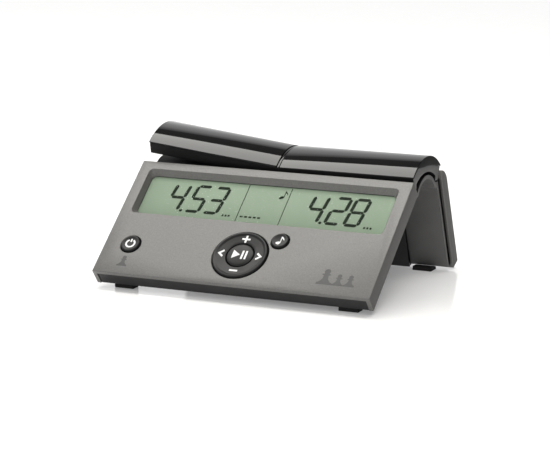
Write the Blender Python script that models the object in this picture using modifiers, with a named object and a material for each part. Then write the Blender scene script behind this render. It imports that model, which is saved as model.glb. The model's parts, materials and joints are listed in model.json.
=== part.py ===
"""Digital chess clock: a tent-shaped two-player clock with a V-shaped rocker lever along its ridge.

World frame: metres, +Z up. X runs along the width (player to player), Y from the display side to
the rear side. The origin is on the table, under the middle of the clock's bounding box.

Three empties carry the sloping sub-assemblies:
  panel_frame   x = width, y = up the display slope, z = out of the display face
  rear_frame    x = width, y = up the rear slope, z = into the tent, towards the display
  rocker_pivot  the rocker's axle, turned to the side that is pressed
"""
import math

import bmesh
import bpy
from mathutils import Matrix, Vector

MM = 0.001

# ---- driving dimensions -------------------------------------------------------------------
WIDTH = 150.0 * MM               # both slabs, end to end
DEPTH = 122.6 * MM               # display slab's foot to the rear cover's foot
GAP = 0.3 * MM                   # clearance between pieces that rest on each other

PANEL_TILT = math.radians(39.0)  # display slope above the table
PANEL_LENGTH = 74.3 * MM
PANEL_THICK = 9.4 * MM
PANEL_FOOT_Z = 9.35 * MM         # height of the display face's lower edge

REAR_TILT = math.radians(69.1)   # rear slope above the table
REAR_THICK = 11.2 * MM
REAR_FOOT_Y = 110.9 * MM         # inner foot of the rear slab, behind the display's foot
REAR_FOOT_Z = 2.55 * MM

COVER_WALL = 1.9 * MM            # display cover's face plate
COVER_SIDE = 2.2 * MM            # display cover's side flanges
SHELL_WALL = 1.6 * MM            # other mouldings

# Window and keys, measured on the display face from its lower left corner
WINDOW_MARGIN_X = 5.85 * MM
WINDOW_LOW_Y = 39.6 * MM
WINDOW_HIGH_Y = 69.4 * MM
WINDOW_DEPTH = 3.0 * MM
WINDOW_INSET = 2.0 * MM
NAV_CENTRE = (0.25 * MM, 18.75 * MM)
NAV_HOLE_RADIUS = 14.75 * MM
PLAY_HOLE_RADIUS = 7.45 * MM
POWER_CENTRE = (-60.55 * MM, 19.05 * MM)
POWER_HOLE_RADIUS = 5.5 * MM
SOUND_CENTRE = (18.2 * MM, 29.65 * MM)
SOUND_HOLE_RADIUS = 4.9 * MM
KEY_CLEARANCE = 0.5 * MM
KEY_TRAVEL = 0.7 * MM

# Rocker lever, in the section plane of its level arm
ROCKER_LENGTH = 74.0 * MM        # each arm, from the axle
ROCKER_SWING = math.radians(6.3)
ROCKER_AXIS_Y = 78.7 * MM
ROCKER_AXIS_Z = 50.0 * MM
CAP_RADIUS = 28.2 * MM
CAP_CENTRE_Z = 37.5 * MM
CAP_EDGE_Z = 57.6 * MM
CAP_WALL = 1.8 * MM
SKIRT_LOW_Z = 51.6 * MM
VAULT_RADIUS = 24.5 * MM         # underside of the rocker
VAULT_CENTRE = (77.5 * MM, 33.2 * MM)
SEAM_HALF = 0.5 * MM
SEAM_GROOVE = 0.5 * MM

# Ridge housing: the arch under the rocker, and the inner face of the rear slab
RIDGE_HALF = 73.7 * MM
RIDGE_RADIUS = 15.5 * MM
RIDGE_CENTRE = (78.7 * MM, 40.5 * MM)
RIDGE_WALL = 1.9 * MM
AXLE_RADIUS = 1.5 * MM
PLUNGER_X = 14.0 * MM
PLUNGER_RADIUS = 1.5 * MM
SWITCH_BOARD_Z = 44.0 * MM       # top of the switch board
SWITCH_SCREW_X = 22.0 * MM
RIB_X = 40.0 * MM                # ribs that close the switches' room

# Battery bay in the rear slab
BAY_HALF_X = 52.9 * MM
BAY_LOW_Y = 0.4 * MM
BAY_HIGH_Y = 24.0 * MM
DOOR_LOW_Y = -1.5 * MM
REAR_BASE_TOP = -1.9 * MM        # the rear base starts behind the housing's inner face
REAR_SPLIT = -3.9 * MM           # and meets the rear cover here
REAR_SCREWS = ((-36.0 * MM, 31.0 * MM), (36.0 * MM, 31.0 * MM))
DOOR_THICK = 1.1 * MM            # it stands proud of the slab's inner face
CELL_RADIUS = 5.0 * MM           # two AAA cells, end to end
CELL_LENGTH = 43.6 * MM
CELL_TIP = 0.9 * MM
SPRING_LENGTH = 5.0 * MM

# Feet
FOOT_X = 61.0 * MM
FOOT_WIDTH = 10.6 * MM

MATERIALS = {                    # colour, roughness, metallic
    "cover_silver": ((0.29, 0.285, 0.275), 0.38, 0.75),
    "base_black": ((0.022, 0.022, 0.023), 0.55, 0.0),
    "rocker_gloss": ((0.012, 0.012, 0.012), 0.08, 0.0),
    "frame_grey": ((0.085, 0.085, 0.085), 0.5, 0.0),
    "seam_trim": ((0.3, 0.3, 0.3), 0.25, 0.8),
    "window_clear": ((0.8, 0.85, 0.82), 0.05, 0.0),
    "lcd_green": ((0.36, 0.45, 0.35), 0.3, 0.0),
    "board_green": ((0.03, 0.16, 0.06), 0.5, 0.0),
    "copper_flex": ((0.6, 0.33, 0.12), 0.45, 0.2),
    "silicone_grey": ((0.35, 0.35, 0.36), 0.7, 0.0),
    "key_black": ((0.03, 0.03, 0.032), 0.4, 0.0),
    "steel": ((0.55, 0.55, 0.56), 0.3, 1.0),
    "brass_disc": ((0.65, 0.5, 0.2), 0.35, 1.0),
    "switch_body": ((0.1, 0.1, 0.11), 0.5, 0.0),
    "plunger_white": ((0.75, 0.75, 0.72), 0.45, 0.0),
    "cell_jacket": ((0.05, 0.12, 0.3), 0.3, 0.2),
    "rubber": ((0.02, 0.02, 0.02), 0.85, 0.0),
}


# ---- scene set-up -------------------------------------------------------------------------
def clear_scene():
    for old in list(bpy.data.objects):
        bpy.data.objects.remove(old, do_unlink=True)


def new_collection(name):
    collection = bpy.data.collections.new(name)
    bpy.context.scene.collection.children.link(collection)
    return collection


clear_scene()
PARTS = new_collection("chess_clock")
CUTTERS = new_collection("cutters")


def make_material(slot):
    colour, roughness, metallic = MATERIALS[slot]
    material = bpy.data.materials.new(slot)
    material.use_nodes = True
    shader = material.node_tree.nodes["Principled BSDF"]
    shader.inputs["Base Color"].default_value = (*colour, 1.0)
    shader.inputs["Roughness"].default_value = roughness
    shader.inputs["Metallic"].default_value = metallic
    return material


SLOTS = {slot: make_material(slot) for slot in MATERIALS}


def make_empty(name, location, rotation):
    empty = bpy.data.objects.new(name, None)
    empty.location = location
    empty.rotation_euler = rotation
    PARTS.objects.link(empty)
    return empty


def section(y, z):
    """A point of the cross-section, its Y counted from the display's foot, in world Y and Z."""
    return y - DEPTH / 2, z


panel_frame = make_empty("panel_frame", (0, *section(0, PANEL_FOOT_Z)), (PANEL_TILT, 0, 0))
rear_frame = make_empty("rear_frame", (0, *section(REAR_FOOT_Y, REAR_FOOT_Z)), (math.pi - REAR_TILT, 0, 0))
rocker_pivot = make_empty("rocker_pivot", (0, *section(ROCKER_AXIS_Y, ROCKER_AXIS_Z)),
                          (0, ROCKER_SWING / 2, 0))


# ---- modelling helpers --------------------------------------------------------------------
def add_object(name, mesh, slot=None, parent=None):
    """Link a mesh as a part, or as a hidden cutter when it has no material slot."""
    piece = bpy.data.objects.new(name, mesh)
    if slot is None:
        CUTTERS.objects.link(piece)
        piece.hide_render = True
        piece.display_type = "WIRE"
    else:
        PARTS.objects.link(piece)
        mesh.materials.append(SLOTS[slot])
    piece.parent = parent
    return piece


def mesh_of(name, bm):
    mesh = bpy.data.meshes.new(name)
    bmesh.ops.recalc_face_normals(bm, faces=bm.faces)
    bm.to_mesh(mesh)
    bm.free()
    return mesh


def block(name, low, high, slot=None, parent=None):
    """An upright block between two corners."""
    bm = bmesh.new()
    bmesh.ops.create_cube(bm, size=1.0)
    size = [b - a for a, b in zip(low, high)]
    middle = [(a + b) / 2 for a, b in zip(low, high)]
    bmesh.ops.scale(bm, vec=size, verts=bm.verts)
    bmesh.ops.translate(bm, vec=middle, verts=bm.verts)
    return add_object(name, mesh_of(name, bm), slot, parent)


def disc(name, centre, radius, low, high, slot=None, parent=None, segments=32, top_radius=None, axis="Z"):
    """A cylinder or cone about a line along the given axis, from low to high along it."""
    bm = bmesh.new()
    bmesh.ops.create_cone(bm, cap_ends=True, segments=segments, radius1=radius,
                          radius2=radius if top_radius is None else top_radius, depth=high - low)
    bmesh.ops.translate(bm, vec=(0, 0, (low + high) / 2), verts=bm.verts)
    if axis == "X":
        turn = Matrix(((0, 0, 1), (1, 0, 0), (0, 1, 0)))
        shift = (0, centre[0], centre[1])
    elif axis == "Y":
        turn = Matrix(((0, 1, 0), (0, 0, 1), (1, 0, 0)))
        shift = (centre[0], 0, centre[1])
    else:
        turn = Matrix.Identity(3)
        shift = (centre[0], centre[1], 0)
    bmesh.ops.rotate(bm, cent=(0, 0, 0), matrix=turn, verts=bm.verts)
    bmesh.ops.translate(bm, vec=shift, verts=bm.verts)
    piece = add_object(name, mesh_of(name, bm), slot, parent)
    if slot is not None:
        smooth(piece)
    return piece


def smooth(piece, angle=35):
    piece.data.shade_smooth()
    piece.data.set_sharp_from_angle(angle=math.radians(angle))


def prism(name, outline, low, high, slot=None, parent=None):
    """An outline of (y, z) points carried along X from low to high."""
    curve = bpy.data.curves.new(name, "CURVE")
    curve.dimensions = "2D"
    curve.fill_mode = "BOTH"
    curve.extrude = (high - low) / 2
    spline = curve.splines.new("POLY")
    spline.points.add(len(outline) - 1)
    for point, (y, z) in zip(spline.points, outline):
        point.co = (y, z, 0, 1)
    spline.use_cyclic_u = True
    holder = bpy.data.objects.new(name + "_curve", curve)
    bpy.context.scene.collection.objects.link(holder)
    bpy.context.view_layer.update()
    solid = bpy.data.meshes.new_from_object(holder.evaluated_get(bpy.context.evaluated_depsgraph_get()))
    bpy.data.objects.remove(holder)
    solid.materials.clear()
    bm = bmesh.new()
    bm.from_mesh(solid)
    bmesh.ops.remove_doubles(bm, verts=bm.verts, dist=1e-6)
    lay_along_x = Matrix(((0, 0, 1, (low + high) / 2), (1, 0, 0, 0), (0, 1, 0, 0), (0, 0, 0, 1)))
    bmesh.ops.transform(bm, matrix=lay_along_x, verts=bm.verts)
    return add_object(name, mesh_of(name, bm), slot, parent)


def combine(target, tool, operation="DIFFERENCE"):
    modifier = target.modifiers.new(operation.lower(), "BOOLEAN")
    modifier.object = tool
    modifier.operation = operation
    modifier.solver = "EXACT"
    return modifier


def round_edges(piece, width, segments=2, angle=40):
    modifier = piece.modifiers.new("round", "BEVEL")
    modifier.width = width
    modifier.segments = segments
    modifier.limit_method = "ANGLE"
    modifier.angle_limit = math.radians(angle)
    modifier.use_clamp_overlap = True
    return modifier


def move_origin(piece, point):
    """Put a moving piece's origin on its joint axis, leaving its mesh where it is."""
    piece.data.transform(Matrix.Translation(-Vector(point)))
    piece.location = point


def arc(centre, radius, start, end, steps):
    """Points on an arc of the section plane, from angle start to end in degrees."""
    points = []
    for index in range(steps + 1):
        angle = math.radians(start + (end - start) * index / steps)
        points.append((centre[0] + radius * math.cos(angle), centre[1] + radius * math.sin(angle)))
    return points


# ---- display slab: covers -----------------------------------------------------------------
HALF = WIDTH / 2
BOSSES = [(side * 68.5 * MM, y) for side in (-1, 1) for y in (6.0 * MM, 34.5 * MM)]


def window_cutter():
    """The window's opening: a frustum that narrows to the glass."""
    bm = bmesh.new()
    bmesh.ops.create_cube(bm, size=1.0)
    overshoot = 1.0 * MM
    slope = WINDOW_INSET / WINDOW_DEPTH
    for vert in bm.verts:
        depth = -overshoot if vert.co.z > 0 else WINDOW_DEPTH + overshoot
        inset = slope * depth
        half_x = HALF - WINDOW_MARGIN_X - inset
        low_y = WINDOW_LOW_Y + inset
        high_y = WINDOW_HIGH_Y - inset
        vert.co = (math.copysign(half_x, vert.co.x), high_y if vert.co.y > 0 else low_y, -depth)
    return add_object("window_opening", mesh_of("window_opening", bm), None, panel_frame)


def make_front_cover():
    cover = block("front_cover", (-HALF, 0, -PANEL_THICK), (HALF, PANEL_LENGTH, 0), "cover_silver",
                  panel_frame)
    round_edges(cover, 0.5 * MM, 2)
    hollow = block("cover_hollow", (-HALF + COVER_SIDE, -2 * MM, -PANEL_THICK - 2 * MM),
                   (HALF - COVER_SIDE, PANEL_LENGTH - SHELL_WALL, -COVER_WALL), None, panel_frame)
    combine(cover, hollow)
    collar = block("window_collar", (-71.0 * MM, 37.9 * MM, -WINDOW_DEPTH - 0.1 * MM),
                   (71.0 * MM, 71.0 * MM, -COVER_WALL + 0.5 * MM), None, panel_frame)
    combine(cover, collar, "UNION")
    for index, (x, y) in enumerate(BOSSES):
        boss = disc("cover_boss_%d" % index, (x, y), 2.4 * MM, -7.2 * MM, -COVER_WALL + 0.5 * MM,
                    None, panel_frame, 16)
        combine(cover, boss, "UNION")
        pilot = disc("cover_pilot_%d" % index, (x, y), 1.05 * MM, -8 * MM, -COVER_WALL, None, panel_frame, 12)
        combine(cover, pilot)
    combine(cover, window_cutter())
    for label, centre, radius in (("nav", NAV_CENTRE, NAV_HOLE_RADIUS),
                                  ("power", POWER_CENTRE, POWER_HOLE_RADIUS),
                                  ("sound", SOUND_CENTRE, SOUND_HOLE_RADIUS)):
        hole = disc(label + "_hole", centre, radius, -3 * MM, 1 * MM, None, panel_frame, 48)
        combine(cover, hole)


def make_front_base():
    """The black tray behind the display cover; its lower end shows as a dark strip under the lip."""
    half = HALF - COVER_SIDE - GAP
    low_y = 0.5 * MM
    high_y = PANEL_LENGTH - SHELL_WALL - GAP
    base = block("front_base", (-half, low_y, -PANEL_THICK), (half, high_y, -COVER_WALL - GAP),
                 "base_black", panel_frame)
    hollow = block("base_hollow", (-half + 1.2 * MM, low_y + SHELL_WALL, -PANEL_THICK + SHELL_WALL),
                   (half - 1.2 * MM, high_y - 0.6 * MM, 2 * MM), None, panel_frame)
    combine(base, hollow)
    for index, (x, y) in enumerate(BOSSES):
        through = disc("base_hole_%d" % index, (x, y), 1.3 * MM, -12 * MM, -5 * MM, None, panel_frame, 12)
        combine(base, through)


def make_display():
    window_half = HALF - WINDOW_MARGIN_X - 0.6 * MM
    low_y = WINDOW_LOW_Y + 0.5 * MM
    high_y = WINDOW_HIGH_Y - 0.3 * MM
    block("display_window", (-window_half, low_y, -4.3 * MM), (window_half, high_y, -3.4 * MM),
          "window_clear", panel_frame)
    glass = block("lcd_glass", (-window_half + 0.5 * MM, low_y, -6.1 * MM),
                  (window_half - 0.5 * MM, high_y, -4.6 * MM), "lcd_green", panel_frame)
    glass_step = block("lcd_step", (-HALF, low_y - 1 * MM, -5.3 * MM), (HALF, low_y + 2.2 * MM, -4 * MM),
                       None, panel_frame)
    combine(glass, glass_step)
    block("lcd_backing", (-window_half, low_y, -7.4 * MM), (window_half, high_y, -6.4 * MM),
          "silicone_grey", panel_frame)


def make_boards():
    board = block("main_board", (-64 * MM, 3.0 * MM, -7.4 * MM), (64 * MM, 38.8 * MM, -6.4 * MM),
                  "board_green", panel_frame)
    round_edges(board, 0.2 * MM, 1)
    # The display's flex runs from the glass step down onto the board's upper edge.
    flex_path = [(33.5 * MM, -5.9 * MM), (35.5 * MM, -5.9 * MM), (38.6 * MM, -4.8 * MM),
                 (41.9 * MM, -4.8 * MM),
                 (41.9 * MM, -5.0 * MM), (38.7 * MM, -5.0 * MM), (35.6 * MM, -6.1 * MM), (33.5 * MM,
                                                                                          -6.1 * MM)]
    prism("lcd_flex", flex_path, -38 * MM, 38 * MM, "copper_flex", panel_frame)
    disc("piezo_buzzer", (47 * MM, 18 * MM), 9.0 * MM, -6.1 * MM, -5.2 * MM, "brass_disc", panel_frame, 32)


# ---- display slab: keys -------------------------------------------------------------------
KEY_FLANGE_TOP = -COVER_WALL - GAP
KEY_FLANGE_LOW = KEY_FLANGE_TOP - 0.7 * MM
MAT_TOP = KEY_FLANGE_LOW - KEY_TRAVEL - GAP
MAT_LOW = -6.1 * MM
MAT_SHEET_TOP = -5.3 * MM
RING_LOW = -3.6 * MM


def make_key(name, centre, radius, rim_top, slot="key_black"):
    """A round key: a slightly domed cap on a wider flange that the cover holds in."""
    key = disc(name, centre, radius, KEY_FLANGE_TOP - 0.2 * MM, rim_top, slot, panel_frame, 40)
    round_edges(key, 0.35 * MM, 2)
    flange = disc(name + "_flange", centre, radius + 0.9 * MM, KEY_FLANGE_LOW, KEY_FLANGE_TOP,
                  None, panel_frame, 40)
    combine(key, flange, "UNION")
    move_origin(key, (*centre, 0))


def make_keys():
    make_key("power_button", POWER_CENTRE, POWER_HOLE_RADIUS - KEY_CLEARANCE, 1.0 * MM)
    make_key("sound_button", SOUND_CENTRE, SOUND_HOLE_RADIUS - KEY_CLEARANCE, 1.0 * MM)
    # The play key stands in the ring, its flange under the ring's inner edge.
    play = disc("play_pause_button", NAV_CENTRE, PLAY_HOLE_RADIUS - 0.4 * MM, -4.1 * MM, 0.6 * MM,
                "key_black", panel_frame, 48)
    round_edges(play, 0.4 * MM, 2)
    play_flange = disc("play_flange", NAV_CENTRE, PLAY_HOLE_RADIUS + 0.5 * MM, -4.5 * MM, -3.9 * MM,
                       None, panel_frame, 48)
    combine(play, play_flange, "UNION")
    move_origin(play, (*NAV_CENTRE, 0))
    # The four-way ring is held under the cover by its own flange, and tilts on a soft cushion.
    ring = disc("nav_ring", NAV_CENTRE, NAV_HOLE_RADIUS - KEY_CLEARANCE, RING_LOW, 0.9 * MM,
                "key_black", panel_frame, 64)
    round_edges(ring, 0.7 * MM, 2)
    ring_flange = disc("ring_flange", NAV_CENTRE, NAV_HOLE_RADIUS + 0.5 * MM, RING_LOW, RING_LOW + 0.7 * MM,
                       None, panel_frame, 64)
    combine(ring, ring_flange, "UNION")
    bore = disc("ring_bore", NAV_CENTRE, PLAY_HOLE_RADIUS, -5 * MM, 3 * MM, None, panel_frame, 48)
    combine(ring, bore)
    move_origin(ring, (*NAV_CENTRE, RING_LOW))
    cushion = disc("nav_cushion", NAV_CENTRE, 11.0 * MM, RING_LOW - 1.15 * MM, RING_LOW - 0.35 * MM,
                   "silicone_grey", panel_frame, 40)
    cushion_bore = disc("cushion_bore", NAV_CENTRE, PLAY_HOLE_RADIUS + 0.95 * MM, -6 * MM, -2 * MM,
                        None, panel_frame, 40)
    combine(cushion, cushion_bore)
    move_origin(cushion, (*NAV_CENTRE, RING_LOW - 0.75 * MM))


def make_keypad_mat():
    """The silicone mat: a thin sheet on the board, with a dome under each of the outer keys."""
    mat = block("keypad_mat", (-65 * MM, 5 * MM, MAT_LOW), (34 * MM, 32.5 * MM, MAT_SHEET_TOP),
                "silicone_grey", panel_frame)
    for label, centre in (("power", POWER_CENTRE), ("sound", SOUND_CENTRE)):
        dome = disc(label + "_dome", centre, 3.0 * MM, MAT_SHEET_TOP - 0.3 * MM, MAT_TOP, None, panel_frame,
                    20,
                    2.2 * MM)
        combine(mat, dome, "UNION")


# ---- ridge housing and switches -----------------------------------------------------------
def panel_point(along, normal):
    """A point of the display slab's side view, as section Y and Z."""
    return (along * math.cos(PANEL_TILT) - normal * math.sin(PANEL_TILT),
            PANEL_FOOT_Z + along * math.sin(PANEL_TILT) + normal * math.cos(PANEL_TILT))


def rear_point(along, inward):
    """A point of the rear slab's side view, as section Y and Z."""
    return (REAR_FOOT_Y - along * math.cos(REAR_TILT) - inward * math.sin(REAR_TILT),
            REAR_FOOT_Z + along * math.sin(REAR_TILT) - inward * math.cos(REAR_TILT))


def on_table(outline):
    return [section(y, z) for y, z in outline]


def make_ridge_housing():
    """One moulding: a flange under the display slab, the arch, and the rear slab's inner face."""
    front_edge = 60.3 * MM
    under = -PANEL_THICK - GAP
    arch_end = [(92.6 * MM, 47.3 * MM), (90.5 * MM, 47.9 * MM)]
    outline = [panel_point(front_edge, under), panel_point(PANEL_LENGTH, under)]
    outline += arc(RIDGE_CENTRE, RIDGE_RADIUS, 150, 41, 18)
    outline += [rear_point(51.0 * MM, 0), rear_point(51.0 * MM, -SHELL_WALL),
                rear_point(-1.2 * MM, -SHELL_WALL)]
    outline += [rear_point(0, 0), rear_point(44.0 * MM, 0), (94.3 * MM, 45.9 * MM), *arch_end]
    outline += arc(RIDGE_CENTRE, RIDGE_RADIUS - RIDGE_WALL, 33, 150, 14)
    outline += [panel_point(PANEL_LENGTH - 1.0 * MM, under - RIDGE_WALL),
                panel_point(front_edge, under - RIDGE_WALL)]
    housing = prism("ridge_housing", on_table(outline), -RIDGE_HALF, RIDGE_HALF, "base_black")
    rib = [panel_point(61.0 * MM, under - 0.8 * MM), panel_point(73.6 * MM, under - 0.8 * MM)]
    rib += arc(RIDGE_CENTRE, RIDGE_RADIUS - 1.0 * MM, 148, 36, 12)
    rib += [(93.3 * MM, 48.0 * MM), (95.0 * MM, 45.9 * MM), rear_point(42.0 * MM, -0.5 * MM)]
    for index, x in enumerate((-RIB_X, RIB_X)):
        wall = prism("switch_room_rib_%d" % index, on_table(rib), x - 0.8 * MM, x + 0.8 * MM)
        combine(housing, wall, "UNION")
    for label, near, far in (("front", 68.4 * MM, 70.9 * MM), ("rear", 85.9 * MM, 88.4 * MM)):
        (low_y, low_z), (high_y, _) = section(near, 46.0 * MM), section(far, 0)
        bearing = block(label + "_bearing", (-6.0 * MM, low_y, low_z), (6.0 * MM, high_y, 51.7 * MM))
        combine(housing, bearing, "UNION")
    (low_y, _), (high_y, _) = section(71.6 * MM, 0), section(85.4 * MM, 0)
    hub_slot = block("hub_slot", (-6.6 * MM, low_y, 50 * MM), (6.6 * MM, high_y, 60 * MM))
    combine(housing, hub_slot)
    (low_y, _), (high_y, _) = section(69.3 * MM, 0), section(95 * MM, 0)
    axle_hole = disc("axle_hole", (0, ROCKER_AXIS_Z), AXLE_RADIUS + 0.05 * MM, low_y, high_y, None, None, 24,
                     axis="Y")
    combine(housing, axle_hole)
    add_switch_mounts(housing)
    door_room = block("door_room", (-BAY_HALF_X - GAP, -5 * MM, -3 * MM),
                      (BAY_HALF_X + GAP, BAY_HIGH_Y + GAP, 2 * MM),
                      None, rear_frame)
    combine(housing, door_room)
    for index, (x, y) in enumerate(REAR_SCREWS):
        through = disc("housing_hole_%d" % index, (x, y), 1.3 * MM, -4 * MM, 3 * MM, None, rear_frame, 12)
        combine(housing, through)


def add_switch_mounts(housing):
    """Holes for the two plungers, and posts for the switch board's screws."""
    middle_y, _ = section(ROCKER_AXIS_Y, 0)
    for side in (-1, 1):
        guide = disc("plunger_guide_%d" % side, (side * PLUNGER_X, middle_y), PLUNGER_RADIUS + 0.25 * MM,
                     50 * MM, 60 * MM, None, None, 20)
        combine(housing, guide)
        x = side * SWITCH_SCREW_X
        post = disc("switch_post_%d" % side, (x, middle_y), 2.2 * MM, SWITCH_BOARD_Z + GAP, 55 * MM, None,
                    None, 16)
        combine(housing, post, "UNION")
        pilot = disc("switch_pilot_%d" % side, (x, middle_y), 1.05 * MM, 40 * MM, 50 * MM, None, None, 12)
        combine(housing, pilot)


def make_switch_cover():
    """The plate that closes the switches' room from below."""
    outline = [(57.0 * MM, 39.7 * MM), (96.2 * MM, 39.7 * MM), (95.6 * MM, 41.2 * MM), (58.6 * MM, 41.2 * MM)]
    reach = RIB_X - 0.8 * MM - GAP
    prism("switch_cover", on_table(outline), -reach, reach, "base_black")


def make_switches():
    y_mid, _ = section(ROCKER_AXIS_Y, 0)
    board_top = SWITCH_BOARD_Z
    board = block("switch_board", (-26 * MM, y_mid - 8.0 * MM, board_top - 1.0 * MM),
                  (26 * MM, y_mid + 8.0 * MM, board_top), "board_green")
    for side in (-1, 1):
        hole = disc("switch_board_hole_%d" % side, (side * SWITCH_SCREW_X, y_mid), 1.3 * MM, 40 * MM, 48 * MM,
                    None, None, 12)
        combine(board, hole)
    body_low = board_top + GAP
    body_top = 49.0 * MM
    stroke = PLUNGER_X * math.tan(ROCKER_SWING)
    pressed_top = VAULT_CENTRE[1] + VAULT_RADIUS - 0.45 * MM
    for label, side, lift in (("left", -1, stroke), ("right", 1, 0.0)):
        x = side * PLUNGER_X
        body = block(label + "_switch", (x - 3.2 * MM, y_mid - 3.2 * MM, body_low),
                     (x + 3.2 * MM, y_mid + 3.2 * MM, body_top), "switch_body")
        well = disc(label + "_well", (x, y_mid), PLUNGER_RADIUS + 0.2 * MM, body_low + 0.8 * MM,
                    body_top + 1 * MM,
                    None, None, 20)
        combine(body, well)
        plunger = disc(label + "_plunger", (x, y_mid), PLUNGER_RADIUS, body_low + 1.1 * MM + lift,
                       pressed_top + lift, "plunger_white", None, 16)
        move_origin(plunger, (x, y_mid, body_top))


# ---- rocker lever -------------------------------------------------------------------------
def arm_frame(outline):
    """Section points as seen from the axle."""
    return [(y - ROCKER_AXIS_Y, z - ROCKER_AXIS_Z) for y, z in outline]


CAP_CENTRE = (ROCKER_AXIS_Y, CAP_CENTRE_Z)
CAP_HALF_ANGLE = math.degrees(math.acos((CAP_EDGE_Z - CAP_CENTRE_Z) / CAP_RADIUS))
RAISE = Matrix.Rotation(-ROCKER_SWING / 2, 4, "Y")
ARM_ROOT = -8.0 * MM


def cap_outline(shrink=0.0):
    """The cap's crescent: a round back over a nearly flat underside."""
    outline = arc(CAP_CENTRE, CAP_RADIUS - shrink, 90 + CAP_HALF_ANGLE, 47.5, 20)
    outline += [(y * MM, z * MM) for y, z in ((97.3, 57.6), (93.7, 58.5), (86.5, 59.9), (79.4, 60.7),
                                              (66.0, 61.4), (62.7, 60.4), (61.0, 57.6))]
    return arm_frame(outline)


def make_rocker_frame():
    """The matte V-shaped lever: a vaulted shell with skirts, and a hub on the axle."""
    outline = [(62.0 * MM, SKIRT_LOW_Z), (59.7 * MM, CAP_EDGE_Z - GAP)]
    outline += [(y * MM, z * MM - GAP) for y, z in ((61.45, 57.6), (63.1, 60.3), (66.0, 61.4), (79.4, 60.7),
                                                    (86.5, 59.9), (93.7, 58.5), (96.9, 57.6))]
    outline += [(94.0 * MM, SKIRT_LOW_Z - 0.5 * MM), (90.8 * MM, SKIRT_LOW_Z - 0.5 * MM)]
    outline += arc(VAULT_CENTRE, VAULT_RADIUS, 57.1, 122.3, 14)
    outline += [(64.4 * MM, SKIRT_LOW_Z)]
    frame = prism("rocker_frame", arm_frame(outline), ARM_ROOT, ROCKER_LENGTH - 0.3 * MM, "frame_grey",
                  rocker_pivot)
    frame.data.transform(RAISE)
    mirror = frame.modifiers.new("other_arm", "MIRROR")
    mirror.use_bisect_axis = (True, False, False)
    mirror.use_mirror_merge = True
    mirror.merge_threshold = 0.00001
    hub = block("rocker_hub", (-4.2 * MM, -6.2 * MM, -2.9 * MM), (4.2 * MM, 5.9 * MM, 8.5 * MM), None,
                rocker_pivot)
    combine(frame, hub, "UNION")
    bore = disc("hub_bore", (0, 0), AXLE_RADIUS + 0.08 * MM, -9 * MM, 9 * MM, None, rocker_pivot, 24,
                axis="Y")
    combine(frame, bore)


def make_rocker_cap(name, side):
    """One gloss cap, hollow above the lever and cut square at the seam."""
    cap = prism(name, cap_outline(), ARM_ROOT, ROCKER_LENGTH, "rocker_gloss", rocker_pivot)
    hollow_outline = arc(CAP_CENTRE, CAP_RADIUS - CAP_WALL, 116, 66, 12)
    hollow_outline += [(89.0 * MM, 58.0 * MM), (68.0 * MM, 58.0 * MM)]
    hollow = prism(name + "_hollow", arm_frame(hollow_outline), 4.0 * MM, ROCKER_LENGTH - 2.2 * MM, None,
                   rocker_pivot)
    for piece in (cap, hollow):
        piece.data.transform(RAISE)
        if side < 0:
            piece.data.transform(Matrix.Scale(-1, 4, (1, 0, 0)))
            piece.data.flip_normals()
    combine(cap, hollow)
    seam = SEAM_HALF + SEAM_GROOVE
    keep_out = sorted((-side * 20 * MM, side * seam))
    trim = block(name + "_seam_cut", (keep_out[0], -40 * MM, -20 * MM), (keep_out[1], 40 * MM, 40 * MM),
                 None, rocker_pivot)
    combine(cap, trim)
    smooth(cap)


def make_seam_trim():
    trim = prism("rocker_seam_trim", cap_outline(0.25 * MM), -SEAM_HALF, SEAM_HALF, "seam_trim", rocker_pivot)
    smooth(trim)


def make_rocker():
    make_rocker_frame()
    make_rocker_cap("rocker_cap_left", -1)
    make_rocker_cap("rocker_cap_right", 1)
    make_seam_trim()
    y_low, _ = section(69.6 * MM, 0)
    y_high, _ = section(88.0 * MM, 0)
    disc("rocker_axle", (0, ROCKER_AXIS_Z), AXLE_RADIUS, y_low, y_high, "steel", None, 24, axis="Y")


# ---- rear slab ----------------------------------------------------------------------------
CELL_Y = 6.9 * MM
CELL_Z = 0.05 * MM - CELL_RADIUS


def make_rear_cover():
    nose = arc((46.1 * MM, 9.34 * MM - REAR_THICK), 9.34 * MM, -90, -33, 8)
    outline = [(-3.0 * MM, -REAR_THICK), *nose, (52.6 * MM, -5.2 * MM), (51.6 * MM, REAR_SPLIT - GAP),
               (-3.17 * MM, REAR_SPLIT - GAP), (-3.55 * MM, -4.7 * MM)]
    cover = prism("rear_cover", outline, -HALF, HALF, "cover_silver", rear_frame)
    inner_nose = arc((45.9 * MM, 9.34 * MM - REAR_THICK), 7.7 * MM, -90, -36, 6)
    cavity = [(-1.4 * MM, SHELL_WALL - REAR_THICK), *inner_nose, (49.9 * MM, -5 * MM), (49.9 * MM, 0),
              (-1.4 * MM, 0)]
    hollow = prism("rear_hollow", cavity, SHELL_WALL - HALF, HALF - SHELL_WALL, None, rear_frame)
    combine(cover, hollow)
    half_x = BAY_HALF_X - 1.3 * MM
    pocket = block("cell_pocket", (-half_x, 1.7 * MM, 1.0 * MM - REAR_THICK), (half_x, 12.2 * MM, 0), None,
                   rear_frame)
    combine(cover, pocket)
    for index, (x, y) in enumerate(REAR_SCREWS):
        boss = disc("rear_boss_%d" % index, (x, y), 2.4 * MM, 0.5 * MM - REAR_THICK, REAR_SPLIT,
                    None, rear_frame, 16)
        combine(cover, boss, "UNION")
        pilot = disc("rear_pilot_%d" % index, (x, y), 1.05 * MM, 2.5 * MM - REAR_THICK, 1 * MM, None,
                     rear_frame, 12)
        combine(cover, pilot)


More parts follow.
